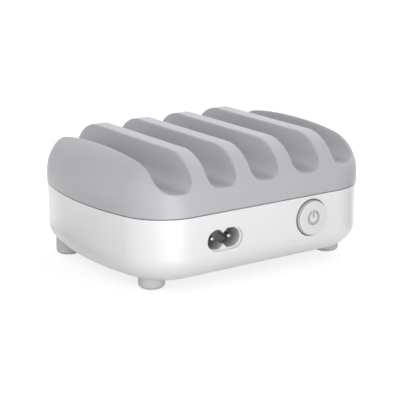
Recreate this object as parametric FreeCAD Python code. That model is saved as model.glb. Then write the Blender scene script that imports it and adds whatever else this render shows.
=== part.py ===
import FreeCAD, Part
import math
import os

from FreeCAD import Vector

# Desk charging station: a white tub with a mains supply inside, under a grey
# slotted cover that holds phones and tablets on edge.
# Millimetres. X runs along the long side, -Y is the side with the inlet and the
# button, +Y is the side with the ports, and Z is up from the soles of the feet.

# Body in plan: straight long sides, bowed short sides, round corners
body_length = 130.0
body_width = 99.3
end_bow_radius = 129.0
corner_radius = 23.4

# Heights
foot_height = 4.1
base_height = 28.7
cover_rise = 24.95
seam_gap = 0.5

# Tub
base_inset = 0.2
base_wall = 2.2
base_floor = 2.5
base_edge_radius = 11.6

# Cover
cover_wall = 2.2
cover_edge_radius = 19.6

# Device slots
slot_count = 5
slot_pitch = 22.3
slot_width = 14.6
slot_floor_rise = 10.4
slot_floor_radius = 5.6
slot_flare = 0.2
slot_lip_radius = 0.6

# Joint between tub and cover
skirt_thickness = 1.2
lip_height = 2.4
lip_clearance = 0.12

# Feet and the bosses above them
foot_radius = 5.7
foot_edge_radius = 2.0
foot_seat_depth = 4.2
foot_clearance = 0.1
foot_boss_wall = 1.4
front_foot_to_end = 17.4
back_foot_to_end = 13.1
foot_to_side = 18.15

# Screws that join tub and cover
screw_radius = 1.45
screw_length = 10.0
screw_head_radius = 2.8
screw_head_height = 2.2
screw_recess_radius = 1.2
screw_recess_depth = 1.2
screw_clearance = 0.05
screw_way_clearance = 0.4
screw_seat_thickness = 3.0
screw_tube_wall = 1.6
screw_tube_gap = 0.6
boss_radius = 3.6
boss_drop = 1.0
boss_gap = 0.1
boss_root = 2.0
pilot_extra = 0.5

# Main board and its screws
board_length = 80.0
board_front_gap = 5.75
board_back_gap = 9.75
board_thickness = 1.6
board_corner_radius = 2.0
board_screw_x = 36.5
board_screw_front = 20.0
board_screw_back = 22.5
board_post_radius = 3.4
board_screw_radius = 1.2
board_screw_to_bottom = 1.8
board_screw_head_radius = 2.4
board_screw_head_height = 1.7
board_screw_clearance = 0.15

# Mains inlet
inlet_x = -22.3
inlet_drop = 11.8
inlet_length = 17.0
inlet_height = 8.5
inlet_rim = 0.55
inlet_rim_depth = 1.5
inlet_rib_width = 3.8
inlet_rib_height = 1.85
inlet_cavity_depth = 10.0
inlet_body_length = 22.0
inlet_body_depth = 17.0
inlet_body_roof = 1.6
inlet_body_floor = 2.85
inlet_body_radius = 1.5
pin_pitch = 8.6
pin_radius = 1.2
pin_recess = 2.9
pin_tail = 2.0
pin_leg_radius = 0.6
pin_tip_share = 0.95
pin_clearance = 0.03

# Push button
button_x = 23.8
button_drop = 9.75
button_radius = 8.0
button_face_radius = 7.45
button_proud = 1.8
button_depth = 8.0
button_wall = 1.6
button_edge_radius = 0.25
button_clearance = 0.35
button_flange_radius = 9.0
button_flange_gap = 0.6
button_flange_thickness = 1.2
button_stem_radius = 3.4
button_stem_extra = 1.0
button_travel = 1.5

# Push switch
switch_length = 14.0
switch_depth = 18.0
switch_half_height = 8.7
switch_edge_radius = 0.8
plunger_side = 3.4
plunger_reach = 8.0
plunger_clearance = 0.4
plunger_socket_depth = 5.0
spring_radius = 3.3
spring_wire_radius = 0.35
spring_turns = 4.5
spring_end_gap = 0.15
spring_room = 8.25

# Ports
port_count = slot_count
port_pitch = 16.2
port_drop = 13.0
port_shell_length = 13.2
port_shell_height = 5.8
port_shell_wall = 0.35
port_shell_radius = 0.7
port_recess = 0.6
port_window_clearance = 0.4
tongue_length = 11.1
tongue_thickness = 1.9
tongue_offset = 1.0
tongue_recess = 1.2
tongue_block_depth = 3.0
tongue_clearance = 0.05
contact_count = 4
contact_pitch = 2.3
contact_width = 1.1
contact_thickness = 0.15
contact_recess = 1.0
port_board_extra = 3.0
port_board_height = 17.0
port_board_thickness = 1.6
port_shell_depth = 12.85

# Line filter
fuse_radius = 4.2
fuse_height = 7.6
fuse_x = -5.5
fuse_y = -23.0
film_length = 18.0
film_depth = 8.0
film_height = 14.0
film_edge_radius = 0.8
film_x = -20.5
choke_radius = 8.0
choke_bore_radius = 4.6
choke_height = 9.0
choke_x = -30.0
choke_wire_build = 1.2
choke_wire_gap = 6.0
choke_clearance = 0.05

# Rectified mains
bridge_thickness = 3.6
bridge_width = 20.0
bridge_height = 16.0
bridge_lead_radius = 0.5
bridge_lead_pitch = 5.0
bridge_lead_count = 4
bridge_lead_length = 3.0
bridge_corner = 3.0
bridge_x = -13.0
bulk_radius = 8.0
bulk_height = 25.5
bulk_edge_radius = 1.2
bulk_x = -24.0

# Gaps in the row from inlet to ports: before the film capacitor, the choke and the bulk capacitor
row_gap_shares = (0.2, 0.3, 0.25)

# Heat sinks and power semiconductors
sink_thickness = 2.5
sink_height = 22.0
sink_corner_radius = 1.5
primary_sink_length = 24.0
primary_sink_x = 4.0
primary_sink_y = -10.0
secondary_sink_length = 28.0
secondary_sink_x = 26.0
secondary_sink_y = 7.0
package_width = 10.2
package_thickness = 4.5
package_height = 15.0
package_lead_width = 0.9
package_lead_thickness = 0.5
package_lead_pitch = 2.54
package_lead_length = 4.0
package_lead_count = 3

# Transformer: closed core with a middle leg, on a moulded former
core_depth = 12.0
core_leg = 7.0
core_side_leg = 4.5
core_window = 6.0
core_window_height = 16.0
core_yoke = 4.0
former_wall = 1.0
former_flange = 1.2
former_clearance = 0.2
former_overhang = 4.5
former_foot_height = 2.0
former_foot_depth = 4.0
winding_setback = 0.4
winding_corner_radius = 2.0
transformer_x = 8.0
transformer_y = 6.0

# Output capacitors
can_radius = 4.0
can_height = 16.0
can_edge_radius = 0.6
can_count = 3
can_pitch = 11.5
can_x = 36.0
can_first_y = -10.0

# One overrun lets every cut pass its faces, and points this near a face lie on it
overrun = 1.0
touch = 0.01

# Levels and places that follow from the sizes above
base_bottom = foot_height
floor_top = base_bottom + base_floor
floor_middle = base_bottom + base_floor / 2
parting = base_bottom + base_height
cover_bottom = parting + seam_gap
cover_top = parting + cover_rise
slot_floor = parting + slot_floor_rise
lip_top = parting + lip_height
lip_outside = skirt_thickness + lip_clearance
boss_seam = parting - boss_drop
screw_seat = boss_seam - screw_seat_thickness
screw_way_radius = screw_head_radius + screw_way_clearance
screw_tube_radius = screw_way_radius + screw_tube_wall
foot_top = base_bottom + foot_seat_depth
base_inside = base_inset + base_wall
base_front = base_inset - body_width / 2
base_front_inside = base_inside - body_width / 2
base_back = body_width / 2 - base_inset
bow_centre_x = body_length / 2 - end_bow_radius
corner_reach = end_bow_radius - corner_radius
corner_y = body_width / 2 - corner_radius
corner_x = bow_centre_x + math.sqrt(corner_reach ** 2 - corner_y ** 2)
port_board_length = port_count * port_pitch + port_board_extra
inlet_z = parting - inlet_drop
inlet_back = base_front_inside + inlet_body_depth
board_top = inlet_z - inlet_height / 2 - inlet_body_floor
board_bottom = board_top - board_thickness
board_front = base_front_inside + board_front_gap
board_back = base_back - base_wall - board_back_gap
board_screw_length = board_top - base_bottom - board_screw_to_bottom
button_z = parting - button_drop
button_front = base_front - button_proud
button_back = button_front + button_depth
button_way = button_back + button_travel
stem_back = button_back + button_stem_extra
switch_front = stem_back + spring_room
port_z = parting - port_drop
port_mouth = base_back - port_recess
port_board_back = port_mouth - port_shell_depth
port_board_front = port_board_back - port_board_thickness
front_foot_x = body_length / 2 - front_foot_to_end
back_foot_x = body_length / 2 - back_foot_to_end
foot_y = body_width / 2 - foot_to_side
foot_places = {
    "front_left": (-front_foot_x, -foot_y),
    "front_right": (front_foot_x, -foot_y),
    "back_left": (-back_foot_x, foot_y),
    "back_right": (back_foot_x, foot_y),
}
board_screw_places = [
    (side * board_screw_x, y) for side in (-1, 1) for y in (-board_screw_front, board_screw_back)
]
row_front = inlet_back + pin_tail
choke_reach = choke_radius + choke_wire_build
row_room = port_board_front - row_front - film_depth - 2 * choke_reach - 2 * bulk_radius
film_y = row_front + row_room * row_gap_shares[0] + film_depth / 2
choke_y = film_y + film_depth / 2 + row_room * row_gap_shares[1] + choke_reach
bridge_y = choke_y
bulk_y = choke_y + choke_reach + row_room * row_gap_shares[2] + bulk_radius
edge_shares = (0.25, 0.5, 0.75)
along_x = Vector(1, 0, 0)
along_y = Vector(0, 1, 0)
along_z = Vector(0, 0, 1)


def standing_box(size_x, size_y, height, x, y, z):
    """box centred on x, y that stands on level z"""
    return Part.makeBox(size_x, size_y, height, Vector(x - size_x / 2, y - size_y / 2, z))


def standing_rod(radius, height, x, y, z):
    """upright cylinder that stands on level z"""
    return Part.makeCylinder(radius, height, Vector(x, y, z), along_z)


def lying_rod(radius, length, x, y, z):
    """cylinder along +Y that starts at y"""
    return Part.makeCylinder(radius, length, Vector(x, y, z), along_y)


def mirrored(point):
    """the same point on the other side of the middle plane"""
    return Vector(-point.x, point.y, point.z)


def edges_at_level(shape, z):
    """edges that lie flat at level z"""
    boxes = [(e, e.BoundBox) for e in shape.Edges]
    return [e for e, box in boxes if abs(box.ZMin - z) < touch and abs(box.ZMax - z) < touch]


def lies_on(edge, surface):
    """whether an edge runs along a surface"""
    length = edge.LastParameter - edge.FirstParameter
    points = [edge.valueAt(edge.FirstParameter + share * length) for share in edge_shares]
    return all(Part.Vertex(point).distToShape(surface)[0] < touch for point in points)


def upright_edges(shape):
    """straight edges along Z"""
    return [e for e in shape.Edges if e.Curve.TypeId == "Part::GeomLine" and abs(e.tangentAt(0).z) == 1]


def one_solid(shape):
    """the single solid in a boolean's result, with split faces joined"""
    return shape.removeSplitter().Solids[0]


def corner_arc(side, inset, z):
    """right-hand corner arc: its end on the long side, its middle, and its end on the bow"""
    radius = corner_radius - inset
    hub = Vector(bow_centre_x, 0, z)
    centre = Vector(corner_x, side * corner_y, z)
    to_side = Vector(0, side * radius, 0)
    to_bow = (centre - hub) * (radius / corner_reach)
    to_middle = to_side + to_bow
    to_middle.multiply(radius / to_middle.Length)
    return centre + to_side, centre + to_middle, centre + to_bow


def plan_outline(inset, z):
    """closed plan curve at level z, drawn in from the body by inset"""
    tip = Vector(body_length / 2 - inset, 0, z)
    front_side, front_middle, front_bow = corner_arc(-1, inset, z)
    back_side, back_middle, back_bow = corner_arc(1, inset, z)
    curves = [
        Part.LineSegment(mirrored(front_side), front_side),
        Part.Arc(front_side, front_middle, front_bow),
        Part.Arc(front_bow, tip, back_bow),
        Part.Arc(back_bow, back_middle, back_side),
        Part.LineSegment(back_side, mirrored(back_side)),
        Part.Arc(mirrored(back_side), mirrored(back_middle), mirrored(back_bow)),
        Part.Arc(mirrored(back_bow), mirrored(tip), mirrored(front_bow)),
        Part.Arc(mirrored(front_bow), mirrored(front_middle), mirrored(front_side)),
    ]
    return Part.Wire([curve.toShape() for curve in curves])


def plan_prism(inset, bottom, top):
    """upright block of the body's plan drawn in by inset"""
    return Part.Face(plan_outline(inset, bottom)).extrude(Vector(0, 0, top - bottom))


def dome(inset, bottom):
    """the cover's form drawn in by inset: upright sides that round over to a flat top"""
    top = cover_top - inset
    form = plan_prism(inset, bottom, top)
    return form.makeFillet(cover_edge_radius - inset, edges_at_level(form, top))


def slot_prism(x, grow):
    """one device slot from front to back; grow widens it all round"""
    floor = slot_floor - grow
    mouth = cover_top + overrun
    narrow = slot_width / 2 + grow
    wide = narrow + slot_flare
    y = -body_width / 2 - overrun
    points = [(-narrow, floor), (narrow, floor), (wide, mouth), (-wide, mouth)]
    corners = [Vector(x + across, y, z) for across, z in points]
    profile = Part.Face(Part.makePolygon(corners + corners[:1]))
    prism = profile.extrude(Vector(0, body_width + 2 * overrun, 0))
    floor_edges = [e for e in edges_at_level(prism, floor) if abs(e.tangentAt(0).y) == 1]
    return prism.makeFillet(slot_floor_radius + grow, floor_edges)


def slot_prisms(grow):
    """all the device slots, side by side about the middle"""
    first = -slot_pitch * (slot_count - 1) / 2
    return [slot_prism(first + slot_pitch * index, grow) for index in range(slot_count)]


def slotted_dome():
    """the cover's outer form with its slots, their edges rounded"""
    form = dome(0, cover_bottom)
    prisms = slot_prisms(0)
    body = form.cut(prisms)
    skin = Part.makeCompound([face for face in form.Faces if face.BoundBox.ZMax > cover_bottom + touch])
    walls = Part.makeCompound([prism.Shells[0] for prism in prisms])
    lips = [edge for edge in body.Edges if lies_on(edge, skin) and lies_on(edge, walls)]
    return body.makeFillet(slot_lip_radius, lips)


def top_cover():
    """slotted cover, one wall thickness all over, with a rebate for the tub's lip"""
    outside = slotted_dome()
    hollow = dome(cover_wall, cover_bottom - overrun).cut(slot_prisms(cover_wall))
    rebate = plan_prism(skirt_thickness, cover_bottom - overrun, lip_top + lip_clearance)
    shell = outside.cut(hollow).cut(rebate)
    bottom = boss_seam + boss_gap
    root = slot_floor + boss_root
    slot_room = slot_prisms(cover_wall / 2)
    pilot_radius = screw_radius + screw_clearance
    pilot_height = screw_seat + screw_length + pilot_extra - bottom
    for x, y in foot_places.values():
        shell = shell.fuse(standing_rod(boss_radius, root - bottom, x, y, bottom).cut(slot_room))
        shell = shell.cut(standing_rod(pilot_radius, pilot_height, x, y, bottom))
    return one_solid(shell)


def tub_outside():
    """the tub's outer form, rounded below"""
    form = plan_prism(base_inset, base_bottom, parting)
    return form.makeFillet(base_edge_radius, edges_at_level(form, base_bottom))


def tub_inside():
    """the space inside the tub"""
    form = plan_prism(base_inside, floor_top, parting + overrun)
    return form.makeFillet(base_edge_radius - base_wall, edges_at_level(form, floor_top))


def tub_lip():
    """ring on the tub's rim that stands in the cover's rebate"""
    ring = plan_prism(lip_outside, parting - base_wall, lip_top)
    return ring.cut(plan_prism(base_inside, parting - base_wall, lip_top))


def foot_boss(x, y):
    """socket for a foot, with the tube that the housing screw goes up"""
    socket_radius = foot_radius + foot_clearance + foot_boss_wall
    boss = standing_rod(socket_radius, foot_top + base_floor - floor_middle, x, y, floor_middle)
    return boss.fuse(standing_rod(screw_tube_radius, boss_seam - floor_top, x, y, floor_top))


def tube_spaces():
    """room kept clear round the four screw tubes"""
    return [standing_rod(screw_tube_radius + screw_tube_gap, boss_seam - floor_top, x, y, floor_top)
            for x, y in foot_places.values()]


def foot_boss_cuts(x, y):
    """foot socket, screw way and screw hole of one boss"""
    socket = standing_rod(foot_radius + foot_clearance, foot_top - base_bottom + overrun, x, y,
                          base_bottom - overrun)
    way = standing_rod(screw_way_radius, screw_seat - base_bottom, x, y, base_bottom)
    hole = standing_rod(screw_radius + screw_clearance, screw_seat_thickness + 2 * overrun, x, y,
                        screw_seat - overrun)
    return [socket, way, hole]


def slot_face(length, height, x, y, z):
    """flat slot with round ends, in the plane of the front wall"""
    radius = height / 2
    half = length / 2 - radius
    left, right = x - half, x + half
    edges = [
        Part.LineSegment(Vector(left, y, z - radius), Vector(right, y, z - radius)),
        Part.Arc(Vector(right, y, z - radius), Vector(right + radius, y, z), Vector(right, y, z + radius)),
        Part.LineSegment(Vector(right, y, z + radius), Vector(left, y, z + radius)),
        Part.Arc(Vector(left, y, z + radius), Vector(left - radius, y, z), Vector(left, y, z - radius)),
    ]
    return Part.Face(Part.Wire([edge.toShape() for edge in edges]))


def inlet_rib(side, y, depth):
    """pointed rib at the middle of the inlet's upper or lower long side"""
    root = inlet_z + side * (inlet_height / 2 + inlet_rim)
    shoulder = inlet_z + side * inlet_height / 2
    half = inlet_rib_width / 2
    points = [(-half, root), (half, root), (half, shoulder),
              (0, shoulder - side * inlet_rib_height), (-half, shoulder)]
    corners = [Vector(inlet_x + across, y, z) for across, z in points]
    return Part.Face(Part.makePolygon(corners + corners[:1])).extrude(Vector(0, depth, 0))


def inlet_space(y, depth):
    """figure-eight space that the mains lead's connector goes into"""
    space = slot_face(inlet_length, inlet_height, inlet_x, y, inlet_z).extrude(Vector(0, depth, 0))
    return space.cut([inlet_rib(side, y, depth) for side in (-1, 1)])


def base_openings():
    """inlet mouth, button hole and port windows"""
    rim = slot_face(inlet_length + 2 * inlet_rim, inlet_height + 2 * inlet_rim, inlet_x,
                    base_front - overrun, inlet_z)
    cuts = [
        rim.extrude(Vector(0, inlet_rim_depth + overrun, 0)),
        inlet_space(base_front, base_wall + overrun),
        lying_rod(button_radius + button_clearance, button_way - base_front + overrun, button_x,
                  base_front - overrun, button_z),
        lying_rod(button_flange_radius + button_clearance, button_way - base_front_inside, button_x,
                  base_front_inside, button_z),
    ]
    for x in port_places():
        cuts.append(port_block(x, port_window_clearance, port_board_back,
                               base_back - port_board_back + overrun))
    return cuts


def base_housing():
    """white tub with bosses, board posts and wall openings"""
    outside = tub_outside()
    bosses = [foot_boss(x, y).common(outside) for x, y in foot_places.values()]
    posts = [standing_rod(board_post_radius, board_bottom - floor_middle, x, y, floor_middle)
             for x, y in board_screw_places]
    body = outside.cut(tub_inside()).fuse([tub_lip()] + bosses + posts)
    cuts = base_openings()
    for x, y in foot_places.values():
        cuts.extend(foot_boss_cuts(x, y))
    depth = board_screw_length + pilot_extra
    for x, y in board_screw_places:
        cuts.append(standing_rod(board_screw_radius + screw_clearance, depth, x, y, board_top - depth))
    return one_solid(body.cut(cuts))


def foot(x, y):
    """plug-in foot with a rounded sole"""
    body = standing_rod(foot_radius, foot_top, x, y, 0)
    return body.makeFillet(foot_edge_radius, edges_at_level(body, 0))


def screw(radius, length, head_radius, head_height, x, y, seat, upward):
    """screw whose head bears on level seat; upward is 1 or -1"""
    way = along_z * upward
    shank = Part.makeCylinder(radius, length, Vector(x, y, seat), way)
    head = Part.makeCylinder(head_radius, head_height, Vector(x, y, seat), -way)
    recess = Part.makeCylinder(screw_recess_radius, screw_recess_depth + overrun,
                               Vector(x, y, seat - upward * (head_height + overrun)), way)
    return one_solid(shank.fuse(head).cut(recess))


def housing_screws():
    """four screws up through the tub into the cover"""
    return Part.makeCompound([screw(screw_radius, screw_length, screw_head_radius, screw_head_height,
                                    x, y, screw_seat, 1) for x, y in foot_places.values()])


def board_screws():
    """four screws down through the main board"""
    return Part.makeCompound([screw(board_screw_radius, board_screw_length,
                                    board_screw_head_radius, board_screw_head_height,
                                    x, y, board_top, -1) for x, y in board_screw_places])


def main_board():
    """circuit board on the tub's posts"""
    board = standing_box(board_length, board_back - board_front, board_thickness, 0,
                         (board_front + board_back) / 2, board_bottom)
    board = board.makeFillet(board_corner_radius, upright_edges(board))
    holes = [standing_rod(board_screw_radius + board_screw_clearance, board_thickness + 2 * overrun, x, y,
                          board_bottom - overrun) for x, y in board_screw_places]
    return board.cut(holes + tube_spaces())


def pin_places():
    """X of the two inlet pins"""
    return {"left": inlet_x - pin_pitch / 2, "right": inlet_x + pin_pitch / 2}


def inlet_body():
    """insulating block behind the front wall, open to the front"""
    top = inlet_z + inlet_height / 2 + inlet_body_roof
    block = standing_box(inlet_body_length, inlet_body_depth, top - board_top, inlet_x,
                         base_front_inside + inlet_body_depth / 2, board_top)
    roof_edges = [e for e in edges_at_level(block, top) if abs(e.tangentAt(0).y) == 1]
    block = block.makeFillet(inlet_body_radius, roof_edges)
    depth = inlet_cavity_depth - base_wall
    cuts = [inlet_space(base_front_inside, depth)]
    for x in pin_places().values():
        cuts.append(lying_rod(pin_radius + pin_clearance, inlet_body_depth + overrun, x,
                              base_front_inside, inlet_z))
    return one_solid(block.common(tub_inside()).cut(cuts + tube_spaces()))


def inlet_pin(x):
    """round contact pin with a domed tip and a leg down to the board"""
    tip = base_front + pin_recess
    tail = inlet_back + pin_tail
    shaft = lying_rod(pin_radius, tail - tip, x, tip, inlet_z)
    tip_edges = [e for e in shaft.Edges if abs(e.BoundBox.YMax - tip) < pin_clearance]
    shaft = shaft.makeFillet(pin_radius * pin_tip_share, tip_edges)
    leg = standing_rod(pin_leg_radius, inlet_z - board_top, x, tail - pin_leg_radius, board_top)
    return one_solid(shaft.fuse(leg))


def power_button():
    """push cap with a drafted front, a retaining flange and a stem that holds the plunger"""
    front = Part.makeCone(button_face_radius, button_radius, button_proud,
                          Vector(button_x, button_front, button_z), along_y)
    rim = [e for e in front.Edges if abs(e.BoundBox.YMax - button_front) < button_clearance]
    cap = front.makeFillet(button_edge_radius, rim)
    cap = cap.fuse(lying_rod(button_radius, button_depth - button_proud, button_x, base_front, button_z))
    flange_front = base_front_inside + button_flange_gap
    flange = lying_rod(button_flange_radius, button_flange_thickness, button_x, flange_front, button_z)
    hollow = lying_rod(button_radius - button_wall, button_depth, button_x, button_front + button_wall,
                       button_z)
    stem_front = button_front + button_wall / 2
    stem = lying_rod(button_stem_radius, stem_back - stem_front, button_x, stem_front, button_z)
    socket = plunger_bar(0, stem_back - plunger_socket_depth, plunger_socket_depth + overrun)
    return one_solid(cap.fuse(flange).cut(hollow).fuse(stem).cut(socket))


def plunger_bar(grow, y, length):
    """square bar on the button's axis"""
    side = plunger_side + 2 * grow
    return Part.makeBox(side, length, side, Vector(button_x - side / 2, y, button_z - side / 2))


def switch_plunger():
    """square plunger from the cap's stem into the switch"""
    start = stem_back - plunger_socket_depth
    return plunger_bar(0, start, switch_front + plunger_reach - start)


def switch_body():
    """push switch that stands on the board behind the button"""
    body = standing_box(switch_length, switch_depth, button_z + switch_half_height - board_top, button_x,
                        switch_front + switch_depth / 2, board_top)
    body = body.makeFillet(switch_edge_radius, upright_edges(body))
    way = plunger_reach + button_travel + plunger_clearance
    return body.cut(plunger_bar(plunger_clearance, switch_front - overrun, way + overrun))


def button_spring():
    """return spring on the plunger, between the switch and the cap's stem"""
    start = stem_back + spring_end_gap + spring_wire_radius
    end = switch_front - spring_end_gap - spring_wire_radius
    helix = Part.makeHelix((end - start) / spring_turns, end - start, spring_radius)
    section = Part.Wire(Part.makeCircle(spring_wire_radius, Vector(spring_radius, 0, 0), along_y))
    coil = Part.Wire(helix.Edges).makePipeShell([section], True, True)
    coil.rotate(Vector(0, 0, 0), along_x, -90)
    coil.translate(Vector(button_x, start, button_z))
    print("spring's least gap to itself", round((end - start) / spring_turns - 2 * spring_wire_radius, 2))
    return coil


def port_places():
    """X of the ports, about the middle"""
    first = -port_pitch * (port_count - 1) / 2
    return [first + port_pitch * index for index in range(port_count)]


def port_block(x, grow, y, depth):
    """block of a port shell's outline with round corners, grown all round"""
    length = port_shell_length + 2 * grow
    height = port_shell_height + 2 * grow
    block = Part.makeBox(length, depth, height, Vector(x - length / 2, y, port_z - height / 2))
    rims = [e for e in block.Edges if abs(e.tangentAt(0).y) == 1]
    return block.makeFillet(port_shell_radius + max(grow, 0), rims)


def usb_shell(x):
    """folded metal shell of one port, open to the back wall"""
    inside = port_block(x, -port_shell_wall, port_board_back, port_shell_depth + overrun)
    return port_block(x, 0, port_board_back, port_shell_depth).cut(inside)


def usb_tongue(x):
    """insulator of one port: a block at the bottom of the shell and the tongue"""
    grow = -port_shell_wall - tongue_clearance
    block = port_block(x, grow, port_board_back, tongue_block_depth)
    tongue = Part.makeBox(tongue_length, port_shell_depth - tongue_recess, tongue_thickness,
                          Vector(x - tongue_length / 2, port_board_back,
                                 port_z + tongue_offset - tongue_thickness / 2))
    return one_solid(block.fuse(tongue))


def usb_contacts():
    """flat contacts under the tongues"""
    underside = port_z + tongue_offset - tongue_thickness / 2
    start = port_board_back + tongue_block_depth
    end = port_mouth - tongue_recess - contact_recess
    first = -contact_pitch * (contact_count - 1) / 2
    strips = []
    for x in port_places():
        for index in range(contact_count):
            left = x + first + contact_pitch * index - contact_width / 2
            corner = Vector(left, start, underside - contact_thickness)
            strips.append(Part.makeBox(contact_width, end - start, contact_thickness, corner))
    return Part.makeCompound(strips)


def port_board():
    """upright board that carries the ports"""
    board = standing_box(port_board_length, port_board_thickness, port_board_height, 0,
                         port_board_back - port_board_thickness / 2, board_top)
    return board.cut(tube_spaces())


def can(radius, height, edge_radius, x, y):
    """upright round component with a rounded top"""
    body = standing_rod(radius, height, x, y, board_top)
    return body.makeFillet(edge_radius, edges_at_level(body, board_top + height))


def x_capacitor():
    """boxed film capacitor across the line"""
    box = standing_box(film_length, film_depth, film_height, film_x, film_y, board_top)
    edges = upright_edges(box) + edges_at_level(box, board_top + film_height)
    return box.makeFillet(film_edge_radius, edges)


def choke_ring(grow):
    """ring of the line choke, grown all round"""
    height = choke_height + 2 * grow
    bottom = board_top + choke_wire_build - grow
    ring = standing_rod(choke_radius + grow, height, choke_x, choke_y, bottom)
    return ring.cut(standing_rod(choke_bore_radius - grow, height, choke_x, choke_y, bottom))


def line_choke_winding():
    """two windings on the ring, one each side of a gap"""
    wound = choke_ring(choke_wire_build).cut(choke_ring(choke_clearance))
    span = 2 * (choke_radius + choke_wire_build + overrun)
    gap = standing_box(span, choke_wire_gap, span, choke_x, choke_y, board_top - overrun)
    return Part.makeCompound(wound.cut(gap).Solids)


def bridge_rectifier():
    """flat upright rectifier with one cut corner, on its leads"""
    bottom = board_top + bridge_lead_length
    half = bridge_width / 2
    top = bottom + bridge_height
    points = [(-half, bottom), (half, bottom), (half, top),
              (bridge_corner - half, top), (-half, top - bridge_corner)]
    x = bridge_x - bridge_thickness / 2
    corners = [Vector(x, bridge_y + along, z) for along, z in points]
    body = Part.Face(Part.makePolygon(corners + corners[:1])).extrude(Vector(bridge_thickness, 0, 0))
    first = -bridge_lead_pitch * (bridge_lead_count - 1) / 2
    leads = [standing_rod(bridge_lead_radius, bridge_lead_length + overrun, bridge_x,
                          bridge_y + first + bridge_lead_pitch * index, board_top)
             for index in range(bridge_lead_count)]
    return one_solid(body.fuse(leads))


def package():
    """power semiconductor against a sink at its back, which is the plane y = 0"""
    bottom = board_top + package_lead_length
    body = standing_box(package_width, package_thickness, package_height, 0, -package_thickness / 2, bottom)
    first = -package_lead_pitch * (package_lead_count - 1) / 2
    leads = [standing_box(package_lead_width, package_lead_thickness, package_lead_length + overrun,
                          first + package_lead_pitch * index, -package_thickness / 2, board_top)
             for index in range(package_lead_count)]
    return one_solid(body.fuse(leads))


def primary_heat_sink():
    """upright plate in front of the transformer"""
    plate = standing_box(primary_sink_length, sink_thickness, sink_height, primary_sink_x, primary_sink_y,
                         board_top)
    return plate.makeFillet(sink_corner_radius, [e for e in edges_at_level(plate, board_top + sink_height)
                                                 if abs(e.tangentAt(0).y) == 1])


def primary_transistor():
    """chopper transistor on the front of its sink"""
    body = package()
    body.translate(Vector(primary_sink_x, primary_sink_y - sink_thickness / 2, 0))
    return body


def secondary_heat_sink():
    """upright plate beside the transformer"""
    plate = standing_box(sink_thickness, secondary_sink_length, sink_height, secondary_sink_x,
                         secondary_sink_y, board_top)
    return plate.makeFillet(sink_corner_radius, [e for e in edges_at_level(plate, board_top + sink_height)
                                                 if abs(e.tangentAt(0).x) == 1])


def output_rectifier():
    """output rectifier on the outer side of its sink"""
    body = package()
    body.rotate(Vector(0, 0, 0), along_z, 90)
    body.translate(Vector(secondary_sink_x + sink_thickness / 2, secondary_sink_y, 0))
    return body


def transformer_levels():
    """bottom and top of the core's windows"""
    low = board_top + former_foot_height + core_yoke
    return low, low + core_window_height


def core_windows():
    """the two window spaces beside the middle leg"""
    low, high = transformer_levels()
    offset = (core_leg + core_window) / 2
    return [standing_box(core_window, core_depth + 2 * overrun, high - low, transformer_x + side * offset,
                         transformer_y, low) for side in (-1, 1)]


def transformer_core():
    """closed ferrite core with a middle leg"""
    length = core_leg + 2 * core_window + 2 * core_side_leg
    low, high = transformer_levels()
    block = standing_box(length, core_depth, high - low + 2 * core_yoke, transformer_x, transformer_y,
                         low - core_yoke)
    return block.cut(core_windows())


def former_sleeve(grow, bottom, height):
    """block round the middle leg, grown all round in plan"""
    across = core_leg + 2 * grow
    along = core_depth + 2 * grow
    return standing_box(across, along, height, transformer_x, transformer_y, bottom)


def transformer_bobbin():
    """winding former: a sleeve, two flanges and two feet on the board"""
    low, high = transformer_levels()
    bottom = low + former_clearance
    height = high - low - 2 * former_clearance
    across = core_leg + 2 * core_window - 2 * former_clearance
    along = core_depth + 2 * former_overhang
    body = former_sleeve(former_clearance + former_wall, bottom, height)
    for level in (bottom, bottom + height - former_flange):
        body = body.fuse(standing_box(across, along, former_flange, transformer_x, transformer_y, level))
    for side in (-1, 1):
        y = transformer_y + side * (along / 2 - former_foot_depth / 2)
        body = body.fuse(standing_box(across, former_foot_depth, bottom - board_top + former_flange,
                                      transformer_x, y, board_top))
    return one_solid(body.cut(former_sleeve(former_clearance, bottom - overrun, height + 2 * overrun)))


def transformer_winding():
    """wound and taped coil between the former's flanges"""
    low, high = transformer_levels()
    bottom = low + former_clearance + former_flange
    height = high - low - 2 * (former_clearance + former_flange)
    across = core_leg + 2 * core_window - 2 * former_clearance - 2 * winding_setback
    along = core_depth + 2 * former_overhang - 2 * winding_setback
    coil = standing_box(across, along, height, transformer_x, transformer_y, bottom)
    coil = coil.makeFillet(winding_corner_radius, upright_edges(coil))
    return coil.cut(former_sleeve(former_clearance + former_wall, bottom - overrun, height + 2 * overrun))


def output_capacitors():
    """row of output capacitors along the board's edge"""
    rows = [can_first_y + can_pitch * index for index in range(can_count)]
    return Part.makeCompound([can(can_radius, can_height, can_edge_radius, can_x, y) for y in rows])


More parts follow.
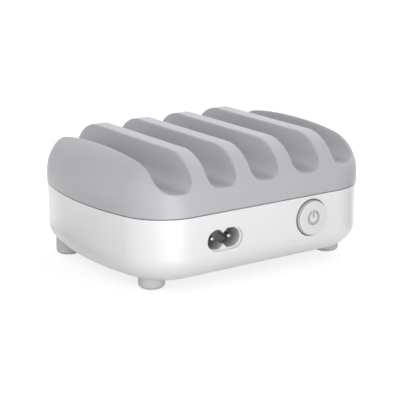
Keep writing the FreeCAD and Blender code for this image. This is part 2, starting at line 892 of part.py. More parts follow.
def all_parts():
    """every piece by the name of its node"""
    parts = {
        "top_cover": top_cover(),
        "base_housing": base_housing(),
        "housing_screws": housing_screws(),
        "main_board": main_board(),
        "board_screws": board_screws(),
        "inlet_body": inlet_body(),
        "power_button": power_button(),
        "switch_plunger": switch_plunger(),
        "switch_body": switch_body(),
        "button_spring": button_spring(),
        "port_board": port_board(),
        "usb_contacts": usb_contacts(),
        "fuse": can(fuse_radius, fuse_height, can_edge_radius, fuse_x, fuse_y),
        "x_capacitor": x_capacitor(),
        "line_choke_core": choke_ring(0),
        "line_choke_winding": line_choke_winding(),
        "bridge_rectifier": bridge_rectifier(),
        "bulk_capacitor": can(bulk_radius, bulk_height, bulk_edge_radius, bulk_x, bulk_y),
        "primary_heat_sink": primary_heat_sink(),
        "primary_transistor": primary_transistor(),
        "secondary_heat_sink": secondary_heat_sink(),
        "output_rectifier": output_rectifier(),
        "transformer_core": transformer_core(),
        "transformer_bobbin": transformer_bobbin(),
        "transformer_winding": transformer_winding(),
        "output_capacitors": output_capacitors(),
    }
    for place, (x, y) in foot_places.items():
        parts["foot_" + place] = foot(x, y)
    for side, x in pin_places().items():
        parts["inlet_pin_" + side] = inlet_pin(x)
    for number, x in enumerate(port_places(), 1):
        parts[f"usb_shell_{number}"] = usb_shell(x)
        parts[f"usb_tongue_{number}"] = usb_tongue(x)
    return parts


def main():
    os.makedirs("parts", exist_ok=True)
    for name, shape in all_parts().items():
        valid = shape.isValid() and all(solid.isClosed() for solid in shape.Solids)
        state = "valid" if valid else "NOT VALID"
        print(name, len(shape.Solids), "solids", round(shape.Volume), "mm3", state)
        shape.exportStep(f"parts/{name}.step")


main()
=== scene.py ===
import math
from functools import partial

import bpy
from mathutils import Matrix, Vector


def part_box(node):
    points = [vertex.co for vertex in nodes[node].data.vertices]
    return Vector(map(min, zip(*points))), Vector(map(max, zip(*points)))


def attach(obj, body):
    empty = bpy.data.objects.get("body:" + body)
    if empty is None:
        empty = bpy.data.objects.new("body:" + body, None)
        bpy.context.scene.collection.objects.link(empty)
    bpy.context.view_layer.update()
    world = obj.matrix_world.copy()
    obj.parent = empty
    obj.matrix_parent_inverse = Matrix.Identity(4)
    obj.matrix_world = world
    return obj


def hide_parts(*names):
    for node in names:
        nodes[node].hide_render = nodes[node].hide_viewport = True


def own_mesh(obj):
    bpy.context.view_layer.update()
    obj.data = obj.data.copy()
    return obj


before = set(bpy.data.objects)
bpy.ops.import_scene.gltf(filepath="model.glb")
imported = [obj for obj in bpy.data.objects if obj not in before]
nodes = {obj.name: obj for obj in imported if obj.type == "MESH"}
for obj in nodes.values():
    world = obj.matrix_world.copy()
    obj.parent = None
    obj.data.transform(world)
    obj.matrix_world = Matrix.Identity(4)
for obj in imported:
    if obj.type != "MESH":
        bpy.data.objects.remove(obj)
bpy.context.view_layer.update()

MM = 0.001


def add_object(name, data):
    """a new object in the scene, at the origin"""
    thing = bpy.data.objects.new(name, data)
    bpy.context.scene.collection.objects.link(thing)
    return thing


# Node building


def feed(tree, socket, given):
    """links a socket to another one, or gives it a value"""
    if isinstance(given, bpy.types.NodeSocket):
        tree.links.new(given, socket)
    else:
        socket.default_value = given


def sums(tree, operation, first, second=0.0):
    """one math node; each operand is a number or a socket"""
    node = tree.nodes.new("ShaderNodeMath")
    node.operation = operation
    for socket, operand in zip(node.inputs, (first, second)):
        feed(tree, socket, operand)
    return node.outputs[0]


def noise(tree, vector, scale, detail=2.0, roughness=0.5):
    """noise texture on a vector; scale is a number or a socket"""
    node = tree.nodes.new("ShaderNodeTexNoise")
    node.inputs["Detail"].default_value = detail
    node.inputs["Roughness"].default_value = roughness
    tree.links.new(vector, node.inputs["Vector"])
    feed(tree, node.inputs["Scale"], scale)
    return node.outputs["Fac"]


def spread(tree, value, start, end, low=0.0, high=1.0):
    """goes from low to high while a value goes from start to end, and is held beyond them"""
    node = tree.nodes.new("ShaderNodeMapRange")
    tree.links.new(value, node.inputs["Value"])
    node.inputs["From Min"].default_value = start
    node.inputs["From Max"].default_value = end
    node.inputs["To Min"].default_value = low
    node.inputs["To Max"].default_value = high
    return node.outputs["Result"]


def vary(tree, texture, low=0.0, high=1.0):
    """goes from low to high over the usual range of a noise texture"""
    usual_low, usual_high = 0.3, 0.7
    return spread(tree, texture, usual_low, usual_high, low, high)


def ramp(tree, place, axis, start, end, low=0.0, high=1.0):
    """goes from low to high along an axis, from start to end"""
    split = tree.nodes.new("ShaderNodeSeparateXYZ")
    tree.links.new(place, split.inputs["Vector"])
    return spread(tree, split.outputs[axis], start, end, low, high)


def blend_colours(tree, mask, first, second):
    """mixes two colours by a mask; each is red, green and blue, or a socket"""
    node = tree.nodes.new("ShaderNodeMix")
    node.data_type = "RGBA"
    tree.links.new(mask, node.inputs["Factor"])
    for title, colour in (("A", first), ("B", second)):
        socket = next(s for s in node.inputs if s.name == title and s.type == "RGBA")
        feed(tree, socket, (*colour, 1) if isinstance(colour, tuple) else colour)
    return next(s for s in node.outputs if s.type == "RGBA")


# Shared shader groups


def shader_group(name, scales, masks):
    """an empty shader group: a vector and scales go in, masks come out"""
    tree = bpy.data.node_groups.new(name, "ShaderNodeTree")
    tree.interface.new_socket("Vector", in_out="INPUT", socket_type="NodeSocketVector")
    for title, default in scales.items():
        socket = tree.interface.new_socket(title, in_out="INPUT", socket_type="NodeSocketFloat")
        socket.default_value = default
    for title in masks:
        tree.interface.new_socket(title, in_out="OUTPUT", socket_type="NodeSocketFloat")
    given = tree.nodes.new("NodeGroupInput").outputs
    made = tree.nodes.new("NodeGroupOutput").inputs
    return tree, given, made


def moulded_skin_group():
    """moulded plastic: a spark-eroded grain, slow flow marks and faint rubbing"""
    tree, given, made = shader_group("moulded_skin", {"Grain Scale": 3000.0, "Flow Scale": 40.0},
                                     ("Grain", "Flow", "Rub"))
    rub_start, rub_end = 0.56, 0.75
    vector = given["Vector"]
    patch_scale = sums(tree, "MULTIPLY", given["Flow Scale"], 3.0)
    grain = noise(tree, vector, given["Grain Scale"], detail=3.0, roughness=0.6)
    flow = noise(tree, vector, given["Flow Scale"], detail=3.0, roughness=0.55)
    patch = noise(tree, vector, patch_scale, detail=4.0, roughness=0.7)
    tree.links.new(grain, made["Grain"])
    tree.links.new(flow, made["Flow"])
    tree.links.new(spread(tree, patch, rub_start, rub_end), made["Rub"])
    return tree


def drawn_metal_group():
    """rolled or drawn metal: streaks along Y and slow stains"""
    tree, given, made = shader_group("drawn_metal", {"Streak Scale": 2500.0}, ("Streak", "Stain"))
    stain_scale = 180.0
    squeeze = tree.nodes.new("ShaderNodeMapping")
    squeeze.inputs["Scale"].default_value = (1.0, 0.06, 1.0)
    tree.links.new(given["Vector"], squeeze.inputs["Vector"])
    squeezed = squeeze.outputs["Vector"]
    streak = noise(tree, squeezed, given["Streak Scale"], detail=3.0, roughness=0.6)
    stain = noise(tree, given["Vector"], stain_scale, detail=3.0, roughness=0.6)
    tree.links.new(streak, made["Streak"])
    tree.links.new(stain, made["Stain"])
    return tree


def board_traces_group():
    """circuit board: tracks under the solder mask and a trace of the glass weave"""
    tree, given, made = shader_group("board_traces", {"Track Scale": 320.0}, ("Track", "Weave"))
    region_scale = 60.0
    region_start, region_end = 0.47, 0.53
    weave_scale = 1500.0
    vector = given["Vector"]
    tracks = []
    for turn in (0.0, math.pi / 2):
        laid = tree.nodes.new("ShaderNodeMapping")
        laid.inputs["Rotation"].default_value = (0.0, 0.0, turn)
        tree.links.new(vector, laid.inputs["Vector"])
        bricks = tree.nodes.new("ShaderNodeTexBrick")
        bricks.inputs["Mortar Size"].default_value = 0.06
        bricks.inputs["Mortar Smooth"].default_value = 0.2
        bricks.inputs["Brick Width"].default_value = 1.7
        bricks.inputs["Row Height"].default_value = 0.45
        tree.links.new(laid.outputs["Vector"], bricks.inputs["Vector"])
        tree.links.new(given["Track Scale"], bricks.inputs["Scale"])
        tracks.append(bricks.outputs["Fac"])
    region = spread(tree, noise(tree, vector, region_scale, detail=1.0), region_start, region_end)
    one_way = sums(tree, "MULTIPLY", tracks[0], region)
    other_way = sums(tree, "MULTIPLY", tracks[1], sums(tree, "SUBTRACT", 1.0, region))
    tree.links.new(sums(tree, "MAXIMUM", one_way, other_way), made["Track"])
    tree.links.new(noise(tree, vector, weave_scale, detail=1.0), made["Weave"])
    return tree


MOULDED = moulded_skin_group()
DRAWN = drawn_metal_group()
TRACED = board_traces_group()


# Kinds of material


def blank_material(name):
    """material with an output only; gives the socket for its surface"""
    material = bpy.data.materials.new(name)
    material.use_nodes = True
    tree = material.node_tree
    tree.nodes.clear()
    return material, tree, tree.nodes.new("ShaderNodeOutputMaterial").inputs["Surface"]


def solid_material(name):
    """material with a shader, and object coordinates for its textures"""
    material, tree, surface = blank_material(name)
    shader = tree.nodes.new("ShaderNodeBsdfPrincipled")
    tree.links.new(shader.outputs["BSDF"], surface)
    place = tree.nodes.new("ShaderNodeTexCoord").outputs["Object"]
    return material, tree, shader, place


def use_group(tree, group, place, **values):
    """places a shared group in a material, with its own values"""
    node = tree.nodes.new("ShaderNodeGroup")
    node.node_tree = group
    tree.links.new(place, node.inputs["Vector"])
    for title, value in values.items():
        node.inputs[title.replace("_", " ")].default_value = value
    return node.outputs


def raise_surface(tree, shader, height, depth, strength, softness=None):
    """bump from a height field, depth in metres; a softness socket gives the radius by which
    edges look rounded under it"""
    bump = tree.nodes.new("ShaderNodeBump")
    if softness:
        soft = tree.nodes.new("ShaderNodeBevel")
        tree.links.new(softness, soft.inputs["Radius"])
        tree.links.new(soft.outputs["Normal"], bump.inputs["Normal"])
    bump.inputs["Distance"].default_value = depth
    bump.inputs["Strength"].default_value = strength
    tree.links.new(height, bump.inputs["Height"])
    tree.links.new(bump.outputs["Normal"], shader.inputs["Normal"])


def moulded_plastic(name, light, dark, rough, grain_scale, grain_depth, rub=0.03, painted_light=(),
                    softness=None):
    """plastic between two near colours, with grain; rough is its least and greatest roughness,
    rub is what handling takes from it in patches, painted_light are ramps of painted light and
    shade, each an axis, a start, an end and a colour, and softness is a ramp of the radius by
    which its edges look rounder"""
    material, tree, shader, place = solid_material(name)
    skin = use_group(tree, MOULDED, place, Grain_Scale=grain_scale)
    tone = blend_colours(tree, vary(tree, skin["Flow"]), dark, light)
    # the ramps blend painted highlights and painted shade into the colour
    for axis, start, end, colour in painted_light:
        tone = blend_colours(tree, ramp(tree, place, axis, start, end), tone, colour)
    tree.links.new(tone, shader.inputs["Base Color"])
    worn = sums(tree, "SUBTRACT", vary(tree, skin["Grain"], *rough),
                sums(tree, "MULTIPLY", skin["Rub"], rub))
    tree.links.new(worn, shader.inputs["Roughness"])
    soft_edges = ramp(tree, place, *softness) if softness else None
    raise_surface(tree, shader, skin["Grain"], grain_depth, strength=0.5, softness=soft_edges)
    return material


def drawn_metal(name, bright, dull, rough, streak_scale):
    """bare metal with drawing streaks; rough is its least and greatest roughness"""
    material, tree, shader, place = solid_material(name)
    metal = use_group(tree, DRAWN, place, Streak_Scale=streak_scale)
    tone = blend_colours(tree, vary(tree, metal["Stain"]), dull, bright)
    tree.links.new(tone, shader.inputs["Base Color"])
    tree.links.new(vary(tree, metal["Streak"], *rough), shader.inputs["Roughness"])
    shader.inputs["Metallic"].default_value = 1.0
    raise_surface(tree, shader, metal["Streak"], 0.004 * MM, strength=0.4)
    return material


def circuit_board(name):
    """green solder mask over tracks"""
    material, tree, shader, place = solid_material(name)
    board = use_group(tree, TRACED, place)
    woven = blend_colours(tree, board["Weave"], (0.010, 0.085, 0.035), (0.014, 0.105, 0.045))
    tone = blend_colours(tree, board["Track"], woven, (0.030, 0.200, 0.085))
    tree.links.new(tone, shader.inputs["Base Color"])
    tree.links.new(vary(tree, board["Weave"], 0.28, 0.42), shader.inputs["Roughness"])
    raise_surface(tree, shader, board["Track"], 0.035 * MM, strength=0.6)
    return material


def sleeved_can(node, sleeve, rim):
    """capacitor in a shrink sleeve of some colour, bare aluminium from a rim below its top"""
    material, tree, shader, place = solid_material(node + "_sleeve")
    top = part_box(node)[1][2] - rim
    sleeve_edge = 0.05 * MM
    darker = 0.8
    bare = ramp(tree, place, "Z", top - sleeve_edge, top)
    metal = use_group(tree, DRAWN, place, Streak_Scale=1500.0)
    skin = use_group(tree, MOULDED, place, Grain_Scale=900.0)
    shade = tuple(darker * part for part in sleeve)
    wrapped = blend_colours(tree, vary(tree, skin["Flow"]), shade, sleeve)
    plain = blend_colours(tree, metal["Stain"], (0.60, 0.61, 0.62), (0.72, 0.72, 0.73))
    tree.links.new(blend_colours(tree, bare, wrapped, plain), shader.inputs["Base Color"])
    tree.links.new(bare, shader.inputs["Metallic"])
    tree.links.new(vary(tree, metal["Streak"], 0.26, 0.38), shader.inputs["Roughness"])
    raise_surface(tree, shader, skin["Grain"], 0.004 * MM, strength=0.4)
    return material


def wound_tape(name):
    """layers of yellow tape whose edges run round the coil"""
    material, tree, shader, place = solid_material(name)
    bands = tree.nodes.new("ShaderNodeTexWave")
    bands.bands_direction = "Z"
    bands.wave_profile = "SAW"
    bands.inputs["Scale"].default_value = 130.0
    bands.inputs["Distortion"].default_value = 0.6
    bands.inputs["Detail"].default_value = 1.0
    tree.links.new(place, bands.inputs["Vector"])
    layer = bands.outputs["Fac"]
    tone = blend_colours(tree, layer, (0.52, 0.36, 0.035), (0.64, 0.46, 0.055))
    tree.links.new(tone, shader.inputs["Base Color"])
    tree.links.new(spread(tree, layer, 0.0, 1.0, 0.34, 0.46), shader.inputs["Roughness"])
    raise_surface(tree, shader, layer, 0.05 * MM, strength=0.6)
    return material


# Finishes

# The cover's edges look rounder from the slots' mouths up to the ridges
edge_softness = ("Z", 42 * MM, 53 * MM, 0.25 * MM, 1.4 * MM)
cover_grey = moulded_plastic("cover_grey", (0.482, 0.476, 0.504), (0.468, 0.462, 0.489),
                             (0.35, 0.44), 2600, 0.012 * MM, softness=edge_softness)

# Painted shade: the tub's lip is coloured dark where it shows in the seam, standing in for the
# seam's shadow
seam_painted_shade = ("Z", 32.80 * MM, 32.85 * MM, (0.10, 0.10, 0.105))
tub_white = moulded_plastic("tub_white", (0.820, 0.820, 0.820), (0.805, 0.805, 0.806),
                            (0.33, 0.35), 2600, 0.0004 * MM, rub=0.004, painted_light=(seam_painted_shade,))

# Painted light behind the button's face: a painted highlight as the pale rim, painted shade on the
# grey side and a painted shadow as the dark root
cap_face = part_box("power_button")[0][1]
cap_painted_light = (("Y", cap_face + 0.005 * MM, cap_face + 0.05 * MM, (0.86, 0.86, 0.87)),
              ("Y", cap_face + 0.17 * MM, cap_face + 0.30 * MM, (0.45, 0.45, 0.455)),
              ("Y", cap_face + 1.42 * MM, cap_face + 1.75 * MM, (0.16, 0.16, 0.165)))
button_white = moulded_plastic("button_white", (0.740, 0.738, 0.750), (0.725, 0.723, 0.736),
                               (0.32, 0.36), 1800, 0.003 * MM, rub=0.01, painted_light=cap_painted_light)

# Painted shade: the inlet's colour grows darker with depth, where little light reaches
cavity_painted_shade = ("Y", -48.0 * MM, -40.0 * MM, (0.18, 0.18, 0.185))
inlet_grey = moulded_plastic("inlet_grey", (0.720, 0.720, 0.725), (0.680, 0.680, 0.685),
                             (0.40, 0.50), 2400, 0.010 * MM, painted_light=(cavity_painted_shade,))

# Light and dark colour, least and greatest roughness, scale of the grain and its depth in mm
plastics = {
    name: moulded_plastic(name, light, dark, rough, grain_scale, grain_depth * MM)
    for name, light, dark, rough, grain_scale, grain_depth in (
        ("symbol_ink", (0.450, 0.450, 0.465), (0.415, 0.415, 0.430), (0.45, 0.55), 5000, 0.004),
        ("foot_rubber", (0.590, 0.590, 0.595), (0.555, 0.555, 0.560), (0.55, 0.68), 3200, 0.02),
        ("tongue_black", (0.020, 0.020, 0.021), (0.014, 0.014, 0.015), (0.40, 0.50), 2600, 0.008),
        ("switch_black", (0.024, 0.024, 0.025), (0.017, 0.017, 0.018), (0.36, 0.46), 2200, 0.010),
        ("plunger_cream", (0.720, 0.690, 0.600), (0.670, 0.640, 0.550), (0.34, 0.42), 2000, 0.006),
        ("package_black", (0.026, 0.026, 0.028), (0.018, 0.018, 0.020), (0.48, 0.60), 5200, 0.012),
        ("former_black", (0.030, 0.028, 0.026), (0.022, 0.020, 0.019), (0.42, 0.52), 2600, 0.010),
        ("fuse_brown", (0.190, 0.060, 0.035), (0.150, 0.046, 0.027), (0.34, 0.44), 2400, 0.006),
        ("film_yellow", (0.640, 0.420, 0.070), (0.580, 0.375, 0.058), (0.30, 0.40), 1600, 0.006),
        ("ferrite_grey", (0.062, 0.063, 0.066), (0.043, 0.044, 0.047), (0.55, 0.75), 4200, 0.030))
}

# Bright and dull colour, least and greatest roughness, scale of the streaks
metals = {
    name: drawn_metal(name, bright, dull, rough, streak_scale)
    for name, bright, dull, rough, streak_scale in (
        ("pin_nickel", (0.46, 0.455, 0.445), (0.38, 0.375, 0.365), (0.14, 0.22), 3000),
        ("port_steel", (0.75, 0.75, 0.74), (0.62, 0.62, 0.62), (0.22, 0.34), 2200),
        ("screw_zinc", (0.62, 0.63, 0.66), (0.50, 0.51, 0.54), (0.24, 0.40), 2600),
        ("spring_wire", (0.58, 0.58, 0.60), (0.46, 0.46, 0.48), (0.20, 0.34), 3600),
        ("contact_gold", (0.85, 0.62, 0.26), (0.74, 0.52, 0.20), (0.16, 0.28), 3200),
        ("choke_copper", (0.56, 0.23, 0.09), (0.44, 0.17, 0.06), (0.22, 0.32), 2400),
        ("sink_aluminium", (0.68, 0.69, 0.70), (0.58, 0.59, 0.60), (0.30, 0.46), 1400))
}

board_green = circuit_board("board_green")
finishes = {
    "top_cover": cover_grey,
    "base_housing": tub_white,
    "power_button": button_white,
    "inlet_body": inlet_grey,
    "switch_body": plastics["switch_black"],
    "switch_plunger": plastics["plunger_cream"],
    "button_spring": metals["spring_wire"],
    "main_board": board_green,
    "port_board": board_green,
    "usb_contacts": metals["contact_gold"],
    "fuse": plastics["fuse_brown"],
    "x_capacitor": plastics["film_yellow"],
    "line_choke_core": plastics["ferrite_grey"],
    "line_choke_winding": metals["choke_copper"],
    "bridge_rectifier": plastics["package_black"],
    "bulk_capacitor": sleeved_can("bulk_capacitor", (0.020, 0.024, 0.060), 0.4 * MM),
    "primary_heat_sink": metals["sink_aluminium"],
    "secondary_heat_sink": metals["sink_aluminium"],
    "primary_transistor": plastics["package_black"],
    "output_rectifier": plastics["package_black"],
    "transformer_core": plastics["ferrite_grey"],
    "transformer_bobbin": plastics["former_black"],
    "transformer_winding": wound_tape("tape_yellow"),
    "output_capacitors": sleeved_can("output_capacitors", (0.022, 0.050, 0.035), 0.2 * MM),
    "housing_screws": metals["screw_zinc"],
    "board_screws": metals["screw_zinc"],
}
for start, finish in (("foot_", plastics["foot_rubber"]),
                      ("inlet_pin", metals["pin_nickel"]),
                      ("usb_shell", metals["port_steel"]),
                      ("usb_tongue", plastics["tongue_black"])):
    finishes.update({name: finish for name in nodes if name.startswith(start)})
for name, node in nodes.items():
    node.data.materials.clear()
    node.data.materials.append(finishes[name])


# Pieces that follow a path


def path_tree(name, sizes):
    """geometry tree with named sizes and a finish; gives it, its inputs and a way to add nodes"""
    tree = bpy.data.node_groups.new(name, "GeometryNodeTree")
    tree.interface.new_socket("Geometry", in_out="INPUT", socket_type="NodeSocketGeometry")
    for title in sizes:
        tree.interface.new_socket(title, in_out="INPUT", socket_type="NodeSocketFloat")
    tree.interface.new_socket("Finish", in_out="INPUT", socket_type="NodeSocketMaterial")
    tree.interface.new_socket("Geometry", in_out="OUTPUT", socket_type="NodeSocketGeometry")
    given = tree.nodes.new("NodeGroupInput").outputs

    def add(kind, **values):
        """one node, with a socket or a value for each of its named inputs"""
        node = tree.nodes.new(kind)
        for title, value in values.items():
            feed(tree, node.inputs[title.replace("_", " ")], value)
        return node

    return tree, given, add


def end_tree(tree, add, given, shape):
    """realizes the shape, smooths it and gives it its finish"""
    real = add("GeometryNodeRealizeInstances", Geometry=shape)
    smooth = add("GeometryNodeSetShadeSmooth", Geometry=real.outputs[0])
    done = add("GeometryNodeSetMaterial", Geometry=smooth.outputs[0], Material=given["Finish"])
    out = tree.nodes.new("NodeGroupOutput")
    tree.links.new(done.outputs[0], out.inputs["Geometry"])


def piece_from(tree, name, place, turn, **values):
    """runs a tree once and makes its result a plain mesh at a place, turned about X"""
    source = add_object(name + "_source", bpy.data.meshes.new(name + "_source"))
    modifier = source.modifiers.new(name, "NODES")
    modifier.node_group = tree
    for socket in tree.interface.items_tree:
        title = socket.name.replace(" ", "_")
        if socket.in_out == "INPUT" and title in values:
            modifier[socket.identifier] = values[title]
    evaluated = source.evaluated_get(bpy.context.evaluated_depsgraph_get())
    mesh = bpy.data.meshes.new_from_object(evaluated)
    bpy.data.objects.remove(source)
    mesh.transform(Matrix.Translation(place) @ Matrix.Rotation(turn, 4, "X"))
    mesh.name = name
    return add_object(name, mesh)


def spring_tree():
    """round wire on a helix"""
    tree, given, add = path_tree("coil_spring", ("Coil Radius", "Length", "Turns", "Wire Radius"))
    helix = add("GeometryNodeCurveSpiral", Resolution=40, Rotations=given["Turns"],
                Start_Radius=given["Coil Radius"], End_Radius=given["Coil Radius"],
                Height=given["Length"])
    section = add("GeometryNodeCurvePrimitiveCircle", Resolution=14, Radius=given["Wire Radius"])
    wire = add("GeometryNodeCurveToMesh", Curve=helix.outputs[0],
               Profile_Curve=section.outputs[0], Fill_Caps=True)
    end_tree(tree, add, given, wire.outputs[0])
    return tree


def choke_wire_tree():
    """two windings on a ring, each one wire that goes round the ring's square section"""
    tree, given, add = path_tree("choke_wire", (
        "Ring Radius", "Half Width", "Half Height", "Turns", "First Angle", "Sweep",
        "Corner Power", "Wire Radius"))
    work = partial(sums, tree)
    along = add("GeometryNodeSplineParameter").outputs["Factor"]
    angle = work("ADD", given["First Angle"], work("MULTIPLY", given["Sweep"], along))
    round_section = work("MULTIPLY", along, work("MULTIPLY", given["Turns"], 2 * math.pi))

    def squared(value):
        """pushes a sine or cosine out towards a square"""
        return work("MULTIPLY", work("SIGN", value),
                    work("POWER", work("ABSOLUTE", value), given["Corner Power"]))

    reach = work("ADD", given["Ring Radius"],
                 work("MULTIPLY", given["Half Width"], squared(work("COSINE", round_section))))
    point = add("ShaderNodeCombineXYZ", X=work("MULTIPLY", reach, work("COSINE", angle)),
                Y=work("MULTIPLY", reach, work("SINE", angle)),
                Z=work("MULTIPLY", given["Half Height"], squared(work("SINE", round_section))))
    line = add("GeometryNodeCurvePrimitiveLine")
    fine = add("GeometryNodeResampleCurve", Curve=line.outputs[0], Count=240)
    path = add("GeometryNodeSetPosition", Geometry=fine.outputs[0], Position=point.outputs[0])
    section = add("GeometryNodeCurvePrimitiveCircle", Resolution=10, Radius=given["Wire Radius"])
    wire = add("GeometryNodeCurveToMesh", Curve=path.outputs[0],
               Profile_Curve=section.outputs[0], Fill_Caps=True)
    other = add("GeometryNodeTransform", Geometry=wire.outputs[0], Rotation=(0.0, 0.0, math.pi))
    both = add("GeometryNodeJoinGeometry")
    for half in (wire, other):
        tree.links.new(half.outputs[0], both.inputs[0])
    end_tree(tree, add, given, both.outputs[0])
    return tree


def power_symbol_tree():
    """broken ring with a bar in its gap, as a thin print"""
    tree, given, add = path_tree("power_symbol", (
        "Ring Radius", "Stroke", "Gap Angle", "Bar Low", "Bar High", "Bar Width", "Thickness"))
    work = partial(sums, tree)
    half_gap = work("MULTIPLY", given["Gap Angle"], 0.5)
    ring = add("GeometryNodeCurveArc", Resolution=64, Radius=given["Ring Radius"],
               Start_Angle=work("ADD", half_gap, math.pi / 2),
               Sweep_Angle=work("SUBTRACT", 2 * math.pi, given["Gap Angle"]))
    low = add("ShaderNodeCombineXYZ", Y=given["Bar Low"])
    high = add("ShaderNodeCombineXYZ", Y=given["Bar High"])
    bar = add("GeometryNodeCurvePrimitiveLine", Start=low.outputs[0], End=high.outputs[0])
    strokes = add("GeometryNodeJoinGeometry")
    for line, width in ((ring, given["Stroke"]), (bar, given["Bar Width"])):
        upright = add("GeometryNodeSetCurveNormal", Curve=line.outputs[0])
        upright.mode = "Z_UP"
        nib = add("GeometryNodeCurvePrimitiveQuadrilateral", Width=width,
                  Height=given["Thickness"])
        stroke = add("GeometryNodeCurveToMesh", Curve=upright.outputs[0],
                     Profile_Curve=nib.outputs[0], Fill_Caps=True)
        tree.links.new(stroke.outputs[0], strokes.inputs[0])
    end_tree(tree, add, given, strokes.outputs[0])
    return tree


def corners(node):
    """low and high corner of a node's box"""
    return tuple(Vector(corner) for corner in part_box(node))


def middle(node):
    """middle of a node's box"""
    low, high = corners(node)
    return (low + high) / 2


def make_power_symbol():
    """the grey power symbol printed on the button, a little off its middle"""
    place = middle("power_button") + Vector((-0.2, 0.0, 0.3)) * MM
    place.y = cap_face
    symbol = piece_from(power_symbol_tree(), "power_symbol", place, math.pi / 2,
                        Ring_Radius=2.75 * MM, Stroke=1.25 * MM, Gap_Angle=math.radians(38),
                        Bar_Low=0.0, Bar_High=3.55 * MM, Bar_Width=1.0 * MM,
                        Thickness=0.02 * MM, Finish=plastics["symbol_ink"])
    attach(symbol, "button")


def make_return_spring():
    """the spring behind the button, which the button presses towards the switch"""
    wire = 0.35 * MM
    low, high = corners("button_spring")
    place = middle("button_spring")
    place.y = low.y + wire
    spring = piece_from(spring_tree(), "return_spring", place, -math.pi / 2, Turns=4.5,
                        Coil_Radius=(high.x - low.x) / 2 - wire,
                        Length=high.y - low.y - 2 * wire, Wire_Radius=wire,
                        Finish=metals["spring_wire"])
    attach(spring, "housing")
    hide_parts("button_spring")
    # At rest the spring has this room between the button's stem and the switch
    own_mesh(spring)


def make_choke_wire():
    """copper turns on the line choke's ring"""
    wire = 0.52 * MM
    bore_radius = 4.6 * MM
    play = 0.06 * MM
    ends = math.radians(57)
    low, high = corners("line_choke_core")
    ring_radius = (high.x - low.x) / 2
    choke = piece_from(choke_wire_tree(), "choke_wire", middle("line_choke_core"), 0.0, Turns=5.0,
                       Ring_Radius=(ring_radius + bore_radius) / 2,
                       Half_Width=(ring_radius - bore_radius) / 2 + wire + play,
                       Half_Height=(high.z - low.z) / 2 + wire + play, First_Angle=ends,
                       Sweep=math.pi - 2 * ends, Corner_Power=0.35, Wire_Radius=wire,
                       Finish=metals["choke_copper"])
    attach(choke, "housing")
    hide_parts("line_choke_winding")


make_power_symbol()
make_return_spring()
make_choke_wire()


# Studio


def seen_rays(tree):
    """1 for rays that show the background: camera, glossy and transmission rays"""
    path = tree.nodes.new("ShaderNodeLightPath").outputs
    some = sums(tree, "MAXIMUM", path["Is Camera Ray"], path["Is Glossy Ray"])
    return sums(tree, "MAXIMUM", some, path["Is Transmission Ray"])


def grey_paper(tree, grey):
    """plain diffuse grey"""
    paper = tree.nodes.new("ShaderNodeBsdfDiffuse")
    paper.inputs["Color"].default_value = (grey, grey, grey, 1)
    return paper.outputs[0]


def glow_of(tree, strength):
    """plain white light from a surface"""
    light = tree.nodes.new("ShaderNodeEmission")
    light.inputs["Strength"].default_value = strength
    return light.outputs[0]


def level_sheet(name, left, right, front, back, height, material):
    """a level rectangle"""
    mesh = bpy.data.meshes.new(name)
    mesh.from_pydata([(left, front, height), (right, front, height), (right, back, height),
                      (left, back, height)], [], [(0, 1, 2, 3)])
    mesh.materials.append(material)
    return add_object(name, mesh)


def studio_floor():
    """pale floor that is white to the camera and keeps a light shadow"""
    half = 6.0
    lit_grey = 0.62
    seen_grey, seen_glow = 0.30, 0.79
    material, tree, surface = blank_material("floor_paper")
    pale = tree.nodes.new("ShaderNodeAddShader")
    tree.links.new(grey_paper(tree, seen_grey), pale.inputs[0])
    tree.links.new(glow_of(tree, seen_glow), pale.inputs[1])
    mix = tree.nodes.new("ShaderNodeMixShader")
    tree.links.new(seen_rays(tree), mix.inputs[0])
    tree.links.new(grey_paper(tree, lit_grey), mix.inputs[1])
    tree.links.new(pale.outputs[0], mix.inputs[2])
    tree.links.new(mix.outputs[0], surface)
    floor = level_sheet("floor", -half, half, -half, half, 0, material)


def gloss_card(name, middle_x, middle_y, width, depth, glow):
    """a card on the floor that shows only as a reflection in glossy walls; sizes in millimetres"""
    left, right = (middle_x - width / 2) * MM, (middle_x + width / 2) * MM
    front, back = (middle_y - depth / 2) * MM, (middle_y + depth / 2) * MM
    lift = 0.5 * MM
    material, tree, surface = blank_material(name)
    tree.links.new(glow_of(tree, glow), surface)
    card = level_sheet(name, left, right, front, back, lift, material)
    card.visible_camera = card.visible_diffuse = False
    card.visible_transmission = card.visible_shadow = False


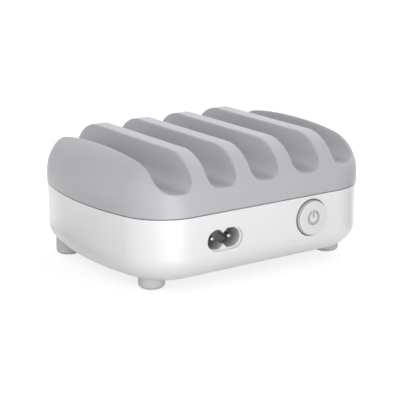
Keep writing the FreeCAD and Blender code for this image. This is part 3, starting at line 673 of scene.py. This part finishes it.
def studio_world():
    """soft even light, white where it is seen"""
    sky = 0.55
    world = bpy.data.worlds.new("studio")
    bpy.context.scene.world = world
    world.use_nodes = True
    tree = world.node_tree
    tree.nodes.clear()
    out = tree.nodes.new("ShaderNodeOutputWorld")
    back = tree.nodes.new("ShaderNodeBackground")
    back.inputs["Color"].default_value = (1, 1, 1, 1)
    tree.links.new(sums(tree, "MAXIMUM", sky, seen_rays(tree)), back.inputs["Strength"])
    tree.links.new(back.outputs[0], out.inputs["Surface"])


def aim(thing, target, azimuth, elevation, distance):
    """puts a lamp or a camera at a distance from a target, which it faces; azimuth is 0 at the
    front and grows to the right"""
    turn, lift = math.radians(azimuth), math.radians(elevation)
    level = Vector((math.sin(turn), -math.cos(turn), 0.0))
    way = level * math.cos(lift) + Vector((0.0, 0.0, math.sin(lift)))
    thing.location = target + way * distance
    thing.rotation_mode = "QUATERNION"
    thing.rotation_quaternion = (-way).to_track_quat("-Z", "Y")


def softbox(name, azimuth, elevation, distance, width, power):
    """square area lamp that faces the middle of the object"""
    lamp = bpy.data.lights.new(name, "AREA")
    lamp.shape = "SQUARE"
    lamp.size = width
    lamp.energy = power
    holder = add_object(name, lamp)
    object_middle = Vector((0, 0, 30 * MM))
    aim(holder, object_middle, azimuth, elevation, distance)
    return holder


def photo_camera():
    """camera at the photograph's angle"""
    data = bpy.data.cameras.new("camera")
    data.sensor_width = 36.0
    data.lens = 121.08
    data.shift_x, data.shift_y = -0.00125, 0.00125
    camera = add_object("camera", data)
    target = Vector((-0.66, 0.0, 23.40)) * MM
    aim(camera, target, azimuth=-34.75, elevation=15.17, distance=612.1 * MM)
    bpy.context.scene.camera = camera


studio_floor()

# Cards: x and y of the middle, width, depth and glow
gloss_card("front_card", -62, -135, 64, 120, 4.0)
gloss_card("left_card", -115, 25, 90, 90, 0.0)
gloss_card("back_card", -50, 125, 50, 90, 1.9)
gloss_card("right_card", 160, -75, 160, 80, 0.0)
gloss_card("edge_card", 120, 5, 80, 70, 2.1)

studio_world()

# Lamps: azimuth and elevation; only the first one shows in gloss
softbox("front_low", -21, 7, distance=0.40, width=0.18, power=0.59)
for name, azimuth, elevation, power in (("left_low", -80, 12, 1.0), ("left_high", -80, 45, 1.5),
                                        ("back_right", 126, 42, 10.2)):
    unseen = softbox(name, azimuth, elevation, distance=1.2, width=0.6, power=power)
    unseen.visible_glossy = False

photo_camera()
bpy.context.scene.view_settings.view_transform = "Standard"
